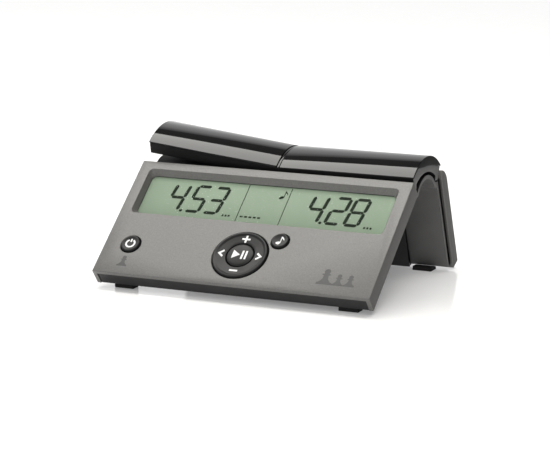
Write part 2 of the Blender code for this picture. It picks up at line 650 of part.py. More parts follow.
def make_rear_base():
    """Inner moulding of the rear slab, with the walls of the battery bay."""
    top = 49.8 * MM
    outline = [(-1.43 * MM, REAR_BASE_TOP), (top, REAR_BASE_TOP), (top, REAR_SPLIT), (-2.94 * MM, REAR_SPLIT)]
    base = prism("rear_base", outline, -RIDGE_HALF, RIDGE_HALF, "base_black", rear_frame)
    hollow = block("rear_base_hollow", (2.0 * MM - RIDGE_HALF, 0.4 * MM, -12 * MM),
                   (RIDGE_HALF - 2.0 * MM, top - 1.8 * MM, REAR_BASE_TOP - 1.5 * MM), None, rear_frame)
    combine(base, hollow)
    bay = block("bay_walls", (-BAY_HALF_X, BAY_LOW_Y, -9.2 * MM), (BAY_HALF_X, BAY_HIGH_Y, -GAP), None,
                rear_frame)
    combine(base, bay, "UNION")
    wall = 1.3 * MM
    divider = 12.2 * MM
    for label, low, high in (("lower", BAY_LOW_Y + wall, divider),
                             ("upper", divider + 1.2 * MM, BAY_HIGH_Y - wall)):
        room = block(label + "_bay", (wall - BAY_HALF_X, low, -12 * MM), (BAY_HALF_X - wall, high, 4 * MM),
                     None, rear_frame)
        combine(base, room)
    for index, (x, y) in enumerate(REAR_SCREWS):
        through = disc("rear_base_hole_%d" % index, (x, y), 1.3 * MM, -5 * MM, 3 * MM, None, rear_frame, 12)
        combine(base, through)


def make_battery_parts():
    door = block("battery_door", (-BAY_HALF_X, DOOR_LOW_Y, GAP), (BAY_HALF_X, BAY_HIGH_Y, GAP + DOOR_THICK),
                 "base_black", rear_frame)
    round_edges(door, 0.35 * MM, 2)
    move_origin(door, (0, DOOR_LOW_Y, GAP))
    left_contact = 1.6 * MM - BAY_HALF_X
    left_cell = left_contact + 0.4 * MM + SPRING_LENGTH + GAP
    middle_contact = left_cell + CELL_LENGTH + CELL_TIP + GAP
    right_cell = middle_contact + 0.4 * MM + SPRING_LENGTH + GAP
    right_contact = right_cell + CELL_LENGTH + CELL_TIP + GAP
    for label, low in (("left", left_cell), ("right", right_cell)):
        cell = disc("battery_" + label, (CELL_Y, CELL_Z), CELL_RADIUS, low, low + CELL_LENGTH, "cell_jacket",
                    rear_frame, 32, axis="X")
        round_edges(cell, 0.5 * MM, 2)
        tip = disc("cell_tip_" + label, (CELL_Y, CELL_Z), 1.9 * MM, low + CELL_LENGTH - 1 * MM,
                   low + CELL_LENGTH + CELL_TIP, None, rear_frame, 20, axis="X")
        combine(cell, tip, "UNION")
    for label, x, thick in (("left", left_contact, 0.6 * MM), ("middle", middle_contact, 0.6 * MM),
                            ("right", right_contact, 1.2 * MM)):
        plate = block("contact_" + label, (x, 2.2 * MM, -8.9 * MM), (x + thick, 11.7 * MM, -0.3 * MM),
                      "steel", rear_frame)
        if label != "right":
            add_contact_spring(plate, x + 0.4 * MM)


def add_contact_spring(plate, start_x):
    """A conical coil that presses on a cell's flat end, joined to its contact plate."""
    turns = 3.0
    steps = 36
    curve = bpy.data.curves.new("contact_spring", "CURVE")
    curve.dimensions = "3D"
    curve.bevel_depth = 0.3 * MM
    curve.bevel_resolution = 1
    curve.use_fill_caps = True
    spline = curve.splines.new("POLY")
    spline.points.add(steps)
    for index, point in enumerate(spline.points):
        share = index / steps
        angle = 2 * math.pi * turns * share
        radius = (3.6 - 1.6 * share) * MM
        point.co = (start_x + SPRING_LENGTH * share, CELL_Y + radius * math.cos(angle),
                    CELL_Z + radius * math.sin(angle), 1)
    holder = bpy.data.objects.new("contact_spring_curve", curve)
    bpy.context.scene.collection.objects.link(holder)
    bpy.context.view_layer.update()
    mesh = bpy.data.meshes.new_from_object(holder.evaluated_get(bpy.context.evaluated_depsgraph_get()))
    bpy.data.objects.remove(holder)
    bm = bmesh.new()
    bm.from_mesh(mesh)
    bmesh.ops.remove_doubles(bm, verts=bm.verts, dist=1e-6)
    coil = add_object("contact_spring", mesh_of("contact_spring", bm), None, rear_frame)
    combine(plate, coil, "UNION")


# ---- feet, screws and wires ---------------------------------------------------------------
def make_feet():
    back = -PANEL_THICK - GAP
    front = [(7.8 * MM, 0.0), (13.6 * MM, 0.0), panel_at_y(13.6 * MM, back), panel_at_y(7.8 * MM, back)]
    rear = [(106.4 * MM, 0.0), (113.8 * MM, 0.0), (113.8 * MM, 1.4 * MM), (111.2 * MM, 2.15 * MM),
            (107.0 * MM, 2.15 * MM)]
    for end, outline in (("front", front), ("rear", rear)):
        for label, side in (("left", -1), ("right", 1)):
            low = side * FOOT_X - FOOT_WIDTH / 2
            foot = prism("foot_%s_%s" % (end, label), on_table(outline), low, low + FOOT_WIDTH, "rubber")
            round_edges(foot, 0.35 * MM, 1, 50)


def panel_at_y(y, normal):
    """The point at a given section Y on a line parallel to the display face."""
    along = (y + normal * math.sin(PANEL_TILT)) / math.cos(PANEL_TILT)
    return panel_point(along, normal)


def make_screw(name, centre, head_at, length, direction, parent):
    """A pan-head screw with a cross slot. It points along direction (+1 or -1) of its frame's Z."""
    head_height = 1.1 * MM
    low, high = sorted((head_at, head_at - direction * head_height))
    screw = disc(name, centre, 2.1 * MM, low, high, "steel", parent, 20)
    low, high = sorted((head_at - direction * 0.2 * MM, head_at + direction * length))
    shank = disc(name + "_shank", centre, 0.9 * MM, low, high, None, parent, 12)
    combine(screw, shank, "UNION")
    top = head_at - direction * head_height
    low, high = sorted((top - direction * 1 * MM, top + direction * 0.5 * MM))
    for tag, half_x, half_y in (("a", 1.4 * MM, 0.25 * MM), ("b", 0.25 * MM, 1.4 * MM)):
        slot = block("%s_slot_%s" % (name, tag), (centre[0] - half_x, centre[1] - half_y, low),
                     (centre[0] + half_x, centre[1] + half_y, high), None, parent)
        combine(screw, slot)


def make_screws():
    for index, centre in enumerate(BOSSES):
        make_screw("front_screw_%d" % (index + 1), centre, -PANEL_THICK - GAP, 6.4 * MM, 1, panel_frame)
    for index, centre in enumerate(REAR_SCREWS):
        make_screw("rear_screw_%d" % (index + 1), centre, GAP, 7.8 * MM, -1, rear_frame)
    board_y, _ = section(ROCKER_AXIS_Y, 0)
    head_at = SWITCH_BOARD_Z - 1.0 * MM - GAP
    make_screw("switch_screw_left", (-SWITCH_SCREW_X, board_y), head_at, 5.0 * MM, 1, None)
    make_screw("switch_screw_right", (SWITCH_SCREW_X, board_y), head_at, 5.0 * MM, 1, None)


# ---- build --------------------------------------------------------------------------------
make_front_cover()
make_front_base()
make_display()
make_boards()
make_keys()
make_keypad_mat()
make_ridge_housing()
make_switch_cover()
make_switches()
make_rocker()
make_rear_cover()
make_rear_base()
make_battery_parts()
make_feet()
make_screws()
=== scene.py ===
"""Looks of the digital chess clock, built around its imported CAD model.

Every shown shell is modelled again here with fine edges, recesses and printed marks. The pieces
inside the clock stay as the CAD made them, with their own materials.

Three local frames are used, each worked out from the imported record's joints:
  PANEL   x = width from the middle, y = up the display slope, z = out of the display face
  REAR    x = width from the middle, y = up the rear slope, z = into the tent
  ROCKER  the lever's axle, turned to the middle of its swing
"""
import json
import math

import bmesh
import bpy
from mathutils import Matrix, Vector

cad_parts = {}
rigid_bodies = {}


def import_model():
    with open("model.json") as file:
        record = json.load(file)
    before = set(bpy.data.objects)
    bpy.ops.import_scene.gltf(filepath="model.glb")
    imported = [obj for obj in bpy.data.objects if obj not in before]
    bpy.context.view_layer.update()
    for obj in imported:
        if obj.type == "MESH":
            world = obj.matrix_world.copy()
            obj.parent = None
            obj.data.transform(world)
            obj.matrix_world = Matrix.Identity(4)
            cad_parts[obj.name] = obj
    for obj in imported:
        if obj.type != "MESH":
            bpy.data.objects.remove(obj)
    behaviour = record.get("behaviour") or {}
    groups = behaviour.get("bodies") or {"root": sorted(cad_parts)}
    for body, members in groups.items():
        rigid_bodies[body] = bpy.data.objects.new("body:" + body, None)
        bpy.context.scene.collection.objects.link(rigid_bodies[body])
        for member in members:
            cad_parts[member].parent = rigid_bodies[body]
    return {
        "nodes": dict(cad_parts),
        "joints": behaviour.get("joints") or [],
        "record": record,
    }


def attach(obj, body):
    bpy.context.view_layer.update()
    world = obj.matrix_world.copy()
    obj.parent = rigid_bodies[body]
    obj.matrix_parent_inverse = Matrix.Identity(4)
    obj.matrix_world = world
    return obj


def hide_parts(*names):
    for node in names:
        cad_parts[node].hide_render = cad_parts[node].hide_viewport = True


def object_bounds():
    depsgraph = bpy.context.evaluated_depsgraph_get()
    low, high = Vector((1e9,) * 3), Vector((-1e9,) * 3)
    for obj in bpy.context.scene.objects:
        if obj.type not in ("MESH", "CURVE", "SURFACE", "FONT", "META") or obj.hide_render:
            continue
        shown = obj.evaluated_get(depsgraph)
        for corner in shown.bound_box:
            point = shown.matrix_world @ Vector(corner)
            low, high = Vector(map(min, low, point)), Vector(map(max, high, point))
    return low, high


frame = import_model()
CAD_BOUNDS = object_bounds()
MM = 0.001

# ---- driving dimensions, from the frame where the record has them ----------------------------
JOINTS = {joint["name"]: joint for joint in frame["joints"]}
HALF = max(abs(CAD_BOUNDS[0].x), abs(CAD_BOUNDS[1].x))
KEY_AXIS = JOINTS["power_press"]["axis"]
PANEL_TILT = math.atan2(KEY_AXIS[1], -KEY_AXIS[2])
NAV_X, NAV_Y = 0.25 * MM, 18.75 * MM
NAV_PIVOT_DEPTH = 3.6 * MM
PANEL_LENGTH = 74.3 * MM
PANEL_THICK = 9.4 * MM
REAR_TILT = math.radians(69.1)
REAR_THICK = 11.2 * MM
REAR_SPLIT = 3.9 * MM
ROCKER_SWING = math.radians(JOINTS["rocker_hinge"]["range_deg"][1])
ROCKER_PIVOT = Vector(JOINTS["rocker_hinge"]["pos_m"])
DOOR_PIVOT = Vector(JOINTS["battery_door_swing"]["pos_m"])
GAP = 0.3 * MM


def panel_matrix():
    """The panel's frame: the ring's pivot is a known point of it."""
    turn = Matrix.Rotation(PANEL_TILT, 4, "X")
    pivot = Vector(JOINTS["nav_tilt_left_right"]["pos_m"])
    offset = turn @ Vector((NAV_X, NAV_Y, -NAV_PIVOT_DEPTH))
    return Matrix.Translation(pivot - offset) @ turn


def rear_matrix():
    """The rear slab's frame: the battery door's hinge is a known point of it."""
    turn = Matrix.Rotation(math.pi - REAR_TILT, 4, "X")
    return Matrix.Translation(DOOR_PIVOT - turn @ Vector((0, -1.5 * MM, GAP))) @ turn


PANEL = panel_matrix()
REAR = rear_matrix()
ROCKER = Matrix.Translation(ROCKER_PIVOT) @ Matrix.Rotation(ROCKER_SWING / 2, 4, "Y")
WORLD = Matrix.Identity(4)
SECTION_Y = PANEL.translation.y          # the section's Y is counted from the panel's foot


# ---- materials --------------------------------------------------------------------------------
class Surface:
    """A Principled material, with its colour and bump varied by procedural noise."""

    def __init__(self, name, colour, roughness, metallic=0.0, grain=0.0, grain_scale=2500.0,
                 mottle=0.0, mottle_scale=60.0, rough_spread=0.0):
        self.material = bpy.data.materials.new(name)
        self.material.use_nodes = True
        self.nodes = self.material.node_tree.nodes
        self.links = self.material.node_tree.links
        self.shader = self.nodes["Principled BSDF"]
        self.shader.inputs["Metallic"].default_value = metallic
        self.shader.inputs["Roughness"].default_value = roughness
        self.place = self.nodes.new("ShaderNodeTexCoord").outputs["Object"]
        self.vary_colour(colour, mottle, mottle_scale)
        if grain:
            self.bump(grain, grain_scale)
        if rough_spread:
            self.vary_roughness(roughness, rough_spread, mottle_scale * 3)

    def noise(self, scale, detail=3.0):
        node = self.nodes.new("ShaderNodeTexNoise")
        node.inputs["Scale"].default_value = scale
        node.inputs["Detail"].default_value = detail
        self.links.new(self.place, node.inputs["Vector"])
        return node.outputs["Fac"]

    def span(self, value, low, high):
        node = self.nodes.new("ShaderNodeMapRange")
        node.inputs["From Min"].default_value = 0.3
        node.inputs["From Max"].default_value = 0.7
        node.inputs["To Min"].default_value = low
        node.inputs["To Max"].default_value = high
        self.links.new(value, node.inputs["Value"])
        return node.outputs["Result"]

    def vary_colour(self, colour, mottle, scale):
        mix = self.nodes.new("ShaderNodeMix")
        mix.data_type = "RGBA"
        mix.inputs["A"].default_value = (*[c * (1 - mottle) for c in colour], 1)
        mix.inputs["B"].default_value = (*[min(1, c * (1 + mottle)) for c in colour], 1)
        self.links.new(self.span(self.noise(scale), 0, 1), mix.inputs["Factor"])
        self.links.new(mix.outputs["Result"], self.shader.inputs["Base Color"])

    def vary_roughness(self, roughness, spread, scale):
        self.links.new(self.span(self.noise(scale), roughness - spread, roughness + spread),
                       self.shader.inputs["Roughness"])

    def bump(self, strength, scale):
        node = self.nodes.new("ShaderNodeBump")
        node.inputs["Strength"].default_value = strength
        node.inputs["Distance"].default_value = 0.0001
        self.links.new(self.noise(scale, 2.0), node.inputs["Height"])
        self.links.new(node.outputs["Normal"], self.shader.inputs["Normal"])


SILVER = (0.138, 0.136, 0.131)
SURFACES = {
    "cover_silver": Surface("silver_paint", SILVER, 0.42, 0.35, grain=0.3, grain_scale=2600,
                            mottle=0.13, mottle_scale=1600),
    "rear_silver": Surface("silver_paint_rear", SILVER, 0.42, 0.35, grain=0.3, grain_scale=2600,
                           mottle=0.13, mottle_scale=1600),
    # A darker copy of the silver paint for the covers' side faces: painted shade.
    "silver_side_shaded": Surface("silver_paint_side", (0.10, 0.099, 0.097), 0.6, grain=0.3, grain_scale=2600,
                           mottle=0.1, mottle_scale=1600),
    "base_black": Surface("moulded_black", (0.011, 0.011, 0.011), 0.42, grain=0.35, grain_scale=1800,
                          mottle=0.1, rough_spread=0.05),
    "rear_inner": Surface("moulded_dark_grey", (0.092, 0.091, 0.09), 0.55, grain=0.35, grain_scale=1800,
                          mottle=0.1, rough_spread=0.05),
    "rocker_gloss": Surface("piano_black", (0.006, 0.006, 0.006), 0.05, grain=0.02, grain_scale=90,
                            mottle=0.1, rough_spread=0.015),
    # Matt black: the lever caps' own end finish, and painted shade on the ridge housing's faces under the
    # lever.
    "cap_end_and_shade": Surface("matt_black", (0.008, 0.008, 0.008), 0.6, mottle=0.1, grain=0.1),
    # The lever frame's one grey moulding in two copies: a lighter grey for its end faces and near black for
    # its other faces, painted light and shade.
    "frame_end_lit": Surface("moulded_grey_end", (0.10, 0.10, 0.10), 0.55, grain=0.3, grain_scale=1800,
                         mottle=0.08),
    "frame_grey": Surface("moulded_grey", (0.009, 0.009, 0.009), 0.6, grain=0.35, grain_scale=1800,
                          mottle=0.08, rough_spread=0.05),
    "seam_trim": Surface("seam_black", (0.012, 0.012, 0.012), 0.08, mottle=0.1, rough_spread=0.02),
    "window_clear": Surface("clear_window", (0.05, 0.055, 0.05), 0.04, mottle=0.02),
    "lcd_green": Surface("lcd_polariser", (0.29, 0.375, 0.275), 0.35, mottle=0.015, mottle_scale=30),
    "board_green": Surface("solder_mask", (0.02, 0.13, 0.05), 0.35, mottle=0.25, mottle_scale=400, grain=0.1),
    "copper_flex": Surface("polyimide", (0.55, 0.28, 0.07), 0.35, mottle=0.2, mottle_scale=600),
    "silicone_grey": Surface("silicone", (0.32, 0.32, 0.33), 0.65, mottle=0.06, grain=0.2),
    "key_black": Surface("key_moulding", (0.011, 0.011, 0.011), 0.33, mottle=0.1, grain=0.12,
                         grain_scale=2600, rough_spread=0.04),
    "steel": Surface("plated_steel", (0.55, 0.55, 0.56), 0.28, 1.0, mottle=0.1, grain=0.1, rough_spread=0.06),
    "brass_disc": Surface("brass_disc", (0.62, 0.45, 0.16), 0.32, 1.0, mottle=0.15, rough_spread=0.06),
    "switch_body": Surface("switch_body", (0.03, 0.03, 0.035), 0.45, mottle=0.15, grain=0.2),
    "plunger_white": Surface("plunger", (0.7, 0.7, 0.67), 0.4, mottle=0.04, grain=0.1),
    "cell_jacket": Surface("cell_jacket", (0.03, 0.08, 0.22), 0.25, 0.2, mottle=0.1, rough_spread=0.04),
    "rubber": Surface("rubber_foot", (0.012, 0.012, 0.012), 0.75, mottle=0.2, grain=0.4, grain_scale=1200),
    "icon_white": Surface("icon_print", (0.8, 0.8, 0.79), 0.5, mottle=0.02, mottle_scale=400),
    "segment_ink": Surface("lcd_segments", (0.006, 0.014, 0.005), 0.4, mottle=0.2, mottle_scale=300),
    "mark_grey": Surface("mark_print", (0.05, 0.05, 0.05), 0.5, mottle=0.1, mottle_scale=400),
}
CLEAR_ALPHA = 0.06
SURFACES["window_clear"].shader.inputs["Alpha"].default_value = CLEAR_ALPHA
SPECULAR = {"lcd_green": 0.1, "segment_ink": 0.05, "window_clear": 0.05, "cap_end_and_shade": 0.1,
            "silver_side_shaded": 0.25, "base_black": 0.35, "frame_grey": 0.12, "key_black": 0.22, "rubber": 0.2}
for label, level in SPECULAR.items():
    SURFACES[label].shader.inputs["Specular IOR Level"].default_value = level


# ---- modelling helpers ------------------------------------------------------------------------
def place_mesh(name, bm, where):
    mesh = bpy.data.meshes.new(name)
    bmesh.ops.recalc_face_normals(bm, faces=bm.faces)
    bm.to_mesh(mesh)
    bm.free()
    piece = bpy.data.objects.new(name, mesh)
    bpy.context.scene.collection.objects.link(piece)
    piece.matrix_world = where
    return piece


def block(name, low, high, where):
    bm = bmesh.new()
    bmesh.ops.create_cube(bm, size=1.0)
    for vert in bm.verts:
        vert.co = [high[i] if vert.co[i] > 0 else low[i] for i in range(3)]
    return place_mesh(name, bm, where)


def frustum(name, outer, inner, top, bottom, where):
    """A rectangular opening that narrows from outer (at top) to inner (at bottom)."""
    bm = bmesh.new()
    bmesh.ops.create_cube(bm, size=1.0)
    for vert in bm.verts:
        at_top = vert.co.z > 0
        (x0, y0), (x1, y1) = outer if at_top else inner
        vert.co = (x1 if vert.co.x > 0 else x0, y1 if vert.co.y > 0 else y0, top if at_top else bottom)
    return place_mesh(name, bm, where)


def in_metres(points):
    """Points given in millimetres."""
    return [(a * MM, b * MM) for a, b in points]


def extrude_outlines(bm, outlines, low, high, axis):
    """Carry closed outlines from low to high along X or Z."""
    for outline in outlines:
        if axis == "X":
            verts = [bm.verts.new((low, a, b)) for a, b in outline]
            step = (high - low, 0, 0)
        else:
            verts = [bm.verts.new((a, b, low)) for a, b in outline]
            step = (0, 0, high - low)
        face = bm.faces.new(verts)
        moved = bmesh.ops.extrude_face_region(bm, geom=[face])["geom"]
        moved_verts = [item for item in moved if isinstance(item, bmesh.types.BMVert)]
        bmesh.ops.translate(bm, vec=step, verts=moved_verts)


def prism(name, outline, low, high, where, axis="X"):
    bm = bmesh.new()
    outlines = outline if isinstance(outline[0], list) else [outline]
    extrude_outlines(bm, outlines, low, high, axis)
    return place_mesh(name, bm, where)


def lathe(name, centre, profile, where, steps=96):
    """Turn a profile of (radius, height) points about the Z line through centre."""
    bm = bmesh.new()
    verts = [bm.verts.new((radius, 0, height)) for radius, height in profile]
    edges = [bm.edges.new(pair) for pair in zip(verts, verts[1:])]
    if profile[0][0] > 0:
        edges.append(bm.edges.new((verts[-1], verts[0])))
    bmesh.ops.spin(bm, geom=verts + edges, cent=(0, 0, 0), axis=(0, 0, 1), steps=steps, angle=2 * math.pi)
    bmesh.ops.remove_doubles(bm, verts=bm.verts, dist=1e-7)
    bmesh.ops.translate(bm, vec=(*centre, 0), verts=bm.verts)
    return place_mesh(name, bm, where)


def combine(piece, tool, operation="DIFFERENCE"):
    modifier = piece.modifiers.new(operation.lower(), "BOOLEAN")
    modifier.object = tool
    modifier.operation = operation
    modifier.solver = "EXACT"
    tool.hide_render = True
    tool["cutter"] = True


def round_edges(piece, width, segments=3, angle=30):
    modifier = piece.modifiers.new("round", "BEVEL")
    modifier.width = width
    modifier.segments = segments
    modifier.limit_method = "ANGLE"
    modifier.angle_limit = math.radians(angle)
    modifier.miter_outer = "MITER_ARC"


def arc(centre, radius, start, end, steps):
    points = []
    for index in range(steps + 1):
        angle = math.radians(start + (end - start) * index / steps)
        points.append((centre[0] + radius * math.cos(angle), centre[1] + radius * math.sin(angle)))
    return points


def settle(piece, body, slot, surface=None, replaces=(), smooth_angle=35):
    """Apply the piece's modifiers in the row frame, shade it, and hang it on its body."""
    bpy.context.view_layer.update()
    evaluated = piece.evaluated_get(bpy.context.evaluated_depsgraph_get())
    mesh = bpy.data.meshes.new_from_object(evaluated)
    mesh.transform(piece.matrix_world)
    name = piece.name
    bpy.data.objects.remove(piece)
    done = bpy.data.objects.new(name, mesh)
    bpy.context.scene.collection.objects.link(done)
    mesh.materials.clear()
    mesh.materials.append(SURFACES[surface or slot].material)
    mesh.shade_smooth()
    mesh.set_sharp_from_angle(angle=math.radians(smooth_angle))
    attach(done, body)
    if replaces:
        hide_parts(*replaces)
    return done


def second_finish(piece, surface, chosen):
    """Give the faces whose normal is chosen another material: a second moulded finish, or a lighter or darker
    copy that paints light or shade by which way the faces turn.
    """
    piece.data.materials.append(SURFACES[surface].material)
    for face in piece.data.polygons:
        face.material_index = int(chosen(face.normal))


def drop_cutters():
    for tool in [o for o in bpy.data.objects if o.get("cutter")]:
        bpy.data.objects.remove(tool)


# ---- display slab -----------------------------------------------------------------------------
WINDOW_OUTER = ((5.85 * MM - HALF, 39.6 * MM), (HALF - 5.85 * MM, 69.4 * MM))
WINDOW_INNER = ((7.5 * MM - HALF, 41.95 * MM), (HALF - 7.5 * MM, 67.1 * MM))
WINDOW_DEPTH = 3.0 * MM
POWER = (-60.55 * MM, 19.05 * MM)
SOUND = (18.2 * MM, 29.65 * MM)
NAV = (NAV_X, NAV_Y)
HOLES = {"nav": (NAV, 14.75 * MM), "power": (POWER, 5.5 * MM), "sound": (SOUND, 4.9 * MM)}


def along_slope(outer, inner, depth):
    """The window opening's rectangle at a depth on the straight slope through outer and inner."""
    share = depth / WINDOW_DEPTH
    return tuple(tuple(a + (b - a) * share for a, b in zip(p, q)) for p, q in zip(outer, inner))


def make_front_cover():
    cover = block("front_cover_shell", (-HALF, 0, -PANEL_THICK), (HALF, PANEL_LENGTH, 0), PANEL)
    round_edges(cover, 0.45 * MM, 3)
    hollow = block("cover_hollow", (2.2 * MM - HALF, -2 * MM, -PANEL_THICK - 2 * MM),
                   (HALF - 2.2 * MM, PANEL_LENGTH - 1.6 * MM, -1.9 * MM), PANEL)
    combine(cover, hollow)
    collar = block("window_collar", (-71 * MM, 37.9 * MM, -3.1 * MM), (71 * MM, 71 * MM, -1.5 * MM), PANEL)
    combine(cover, collar, "UNION")
    reach = 1.0 * MM
    opening = frustum("window_opening", along_slope(WINDOW_OUTER, WINDOW_INNER, -reach),
                      along_slope(WINDOW_OUTER, WINDOW_INNER, WINDOW_DEPTH + reach), reach,
                      -WINDOW_DEPTH - reach, PANEL)
    round_corners = opening.modifiers.new("corners", "BEVEL")
    round_corners.width = 2.2 * MM
    round_corners.segments = 5
    round_corners.limit_method = "WEIGHT"
    mark_upright_edges(opening)
    combine(cover, opening)
    for label, (centre, radius) in HOLES.items():
        chamfer = 0.3 * MM
        profile = [(0, 1 * MM), (radius + chamfer + 1 * MM, 1 * MM), (radius, -chamfer), (radius, -4 * MM),
                   (0, -4 * MM)]
        combine(cover, lathe(label + "_opening", centre, profile, PANEL))
    done = settle(cover, "body", "cover_silver", replaces=["front_cover"])
    # The side faces take the darker copy of the silver paint as painted shade.
    second_finish(done, "silver_side_shaded", lambda normal: abs(normal.x) > 0.9)


def mark_upright_edges(piece):
    """Give the bevel weight to the four corner edges of a frustum."""
    weights = piece.data.attributes.new("bevel_weight_edge", "FLOAT", "EDGE")
    for edge in piece.data.edges:
        low, high = (piece.data.vertices[i].co for i in edge.vertices)
        weights.data[edge.index].value = 1.0 if abs(low.z - high.z) > 1 * MM else 0.0


def make_display():
    (x0, y0), (x1, y1) = WINDOW_INNER
    margin = 0.9 * MM
    plate = block("window_plate", (x0 - margin, y0 - margin, -3.5 * MM),
                  (x1 + margin, y1 + margin, -3.15 * MM), PANEL)
    round_edges(plate, 0.08 * MM, 2)
    settle(plate, "body", "window_clear", replaces=["display_window"])
    glass = block("lcd_panel", (x0 - margin, y0 - margin, -6.1 * MM), (x1 + margin, y1 + margin, -3.6 * MM),
                  PANEL)
    round_edges(glass, 0.1 * MM, 2)
    settle(glass, "body", "lcd_green", replaces=["lcd_glass"])
    border = 0.3 * MM
    frame_lines = [rectangle(x0 - border, y0 - border, x0, y1 + border),
                   rectangle(x1, y0 - border, x1 + border, y1 + border),
                   rectangle(x0, y1, x1, y1 + border), rectangle(x0, y0 - border, x1, y0)]
    printed("lcd_border", frame_lines, -3.58 * MM, PANEL, "body", "lcd_green", "segment_ink")


def rectangle(x0, y0, x1, y1):
    return [(x0, y0), (x1, y0), (x1, y1), (x0, y1)]


def printed(name, outlines, height, where, body, slot, surface, thick=0.03 * MM):
    """Flat marks on a surface: closed outlines with a hair of thickness."""
    piece = prism(name, outlines, height, height + thick, where, "Z")
    return settle(piece, body, slot, surface, smooth_angle=20)


# Seven-segment digits: top, upper left, upper right, middle, lower left, lower right, bottom
SEGMENTS = {
    "2": "TRMLB",
    "3": "TRMrB",
    "4": "lRMr",
    "5": "TlMrB",
    "8": "TlRMLrB",
}
DIGIT_HALF_WIDTH = 3.65 * MM
DIGIT_HALF_HEIGHT = 8.35 * MM
DIGIT_MIDDLE_Y = 54.75 * MM
SEGMENT_HALF = 0.92 * MM
SEGMENT_SPACE = 0.34 * MM
DIGIT_SLANT = math.tan(math.radians(7.6))


def segment_outline(start, end):
    """A pointed bar between two corners of a digit."""
    start, end = Vector(start), Vector(end)
    along = (end - start).normalized()
    across = Vector((-along.y, along.x)) * SEGMENT_HALF
    tip = along * SEGMENT_SPACE
    shoulder = along * (SEGMENT_SPACE + SEGMENT_HALF * 0.8)
    blunt = across * 0.3
    return [start + tip + blunt, start + tip - blunt, start + shoulder - across, end - shoulder - across,
            end - tip - blunt, end - tip + blunt, end - shoulder + across, start + shoulder + across]


def digit_outlines(character, centre_x):
    w, h = DIGIT_HALF_WIDTH, DIGIT_HALF_HEIGHT
    ends = {"T": ((-w, h), (w, h)), "l": ((-w, 0), (-w, h)), "R": ((w, 0), (w, h)), "M": ((-w, 0), (w, 0)),
            "L": ((-w, -h), (-w, 0)), "r": ((w, -h), (w, 0)), "B": ((-w, -h), (w, -h))}
    outlines = []
    for key in SEGMENTS[character]:
        outline = segment_outline(*ends[key])
        outlines.append([(centre_x + p.x + p.y * DIGIT_SLANT, DIGIT_MIDDLE_Y + p.y) for p in outline])
    return outlines


def note_outlines(x, y, size):
    """A quaver: head, stem and flag."""
    head = [(x + size * 0.30 * math.cos(a), y + size * 0.22 * math.sin(a) + size * 0.1 * math.cos(a))
            for a in [2 * math.pi * i / 16 for i in range(16)]]
    stem_x = x + size * 0.24
    stem = rectangle(stem_x, y + size * 0.05, stem_x + size * 0.09, y + size)
    flag = [(stem_x + size * 0.09, y + size), (stem_x + size * 0.09, y + size * 0.74),
            (stem_x + size * 0.32, y + size * 0.56), (stem_x + size * 0.42, y + size * 0.38),
            (stem_x + size * 0.40, y + size * 0.62), (stem_x + size * 0.24, y + size * 0.82)]
    return [head, stem, flag]


def make_readout():
    outlines = []
    group_step = 77.0 * MM
    for text, offset in (("453", 0), ("428", group_step)):
        for character, x in zip(text, (26.0 * MM, 37.9 * MM, 48.15 * MM)):
            outlines += digit_outlines(character, x + offset - HALF)
        dot_x = 30.75 * MM + offset - HALF
        dot_y = DIGIT_MIDDLE_Y - DIGIT_HALF_HEIGHT
        outlines.append(arc((dot_x, dot_y), 0.85 * MM, 0, 337.5, 15))
        for step in range(3):
            tick_x = (54.2 + 1.7 * step) * MM + offset - HALF
            outlines.append(rectangle(tick_x, 45.0 * MM, tick_x + 1.0 * MM, 46.2 * MM))
    for x in (62.6 * MM, 86.2 * MM):
        outlines.append(rectangle(x - 0.2 * MM - HALF, 42.5 * MM, x + 0.2 * MM - HALF, 66.6 * MM))
    outlines += note_outlines(82.2 * MM - HALF, 60.2 * MM, 4.3 * MM)
    for step in range(5):
        x = (64.2 + 2.4 * step) * MM - HALF
        outlines.append(rectangle(x, 45.4 * MM, x + 1.6 * MM, 46.4 * MM))
    printed("lcd_readout", outlines, -3.58 * MM, PANEL, "body", "lcd_green", "segment_ink", 0.05 * MM)


def pawn_outline(x, y, height):
    """A pawn's silhouette, standing at (x, y)."""
    half = [(0.42, 0.0), (0.42, 0.12), (0.30, 0.18), (0.16, 0.36), (0.13, 0.58), (0.24, 0.62), (0.24, 0.68),
            (0.13, 0.70)]
    head = arc((0, 0.84), 0.17, -35, 90, 6)
    right = half + head
    left = [(-a, b) for a, b in reversed(right[:-1])]
    return [(x + a * height, y + b * height) for a, b in right + left]


def make_panel_marks():
    outlines = [pawn_outline(14.5 * MM - HALF, 4.9 * MM, 6.6 * MM)]
    for x, height in ((124.0, 9.5), (131.0, 7.0), (137.0, 7.0)):
        outlines.append(pawn_outline(x * MM - HALF, 6.0 * MM, height * MM))
    printed("panel_marks", outlines, 0.0, PANEL, "body", "cover_silver", "mark_grey", 0.02 * MM)


# ---- keys -------------------------------------------------------------------------------------
def dished_key(name, centre, radius, height, node, flange):
    """A round key with a soft rim and a shallow dish."""
    profile = [(0, height - 0.3 * MM), (radius * 0.55, height - 0.3 * MM),
               (radius * 0.82, height - 0.02 * MM), (radius * 0.9, height),
               (radius - 0.12 * MM, height - 0.35 * MM), (radius, height - 0.8 * MM),
               (radius, -2.2 * MM), (flange, -2.2 * MM), (flange, -2.9 * MM), (0, -2.9 * MM)]
    key = lathe(name, centre, profile, PANEL)
    round_edges(key, 0.15 * MM, 3, 20)
    settle(key, node, "key_black", replaces=[node])


def ring_sector(centre, inner, outer, start, end, steps=28):
    return arc(centre, outer, start, end, steps) + arc(centre, inner, end, start, steps)


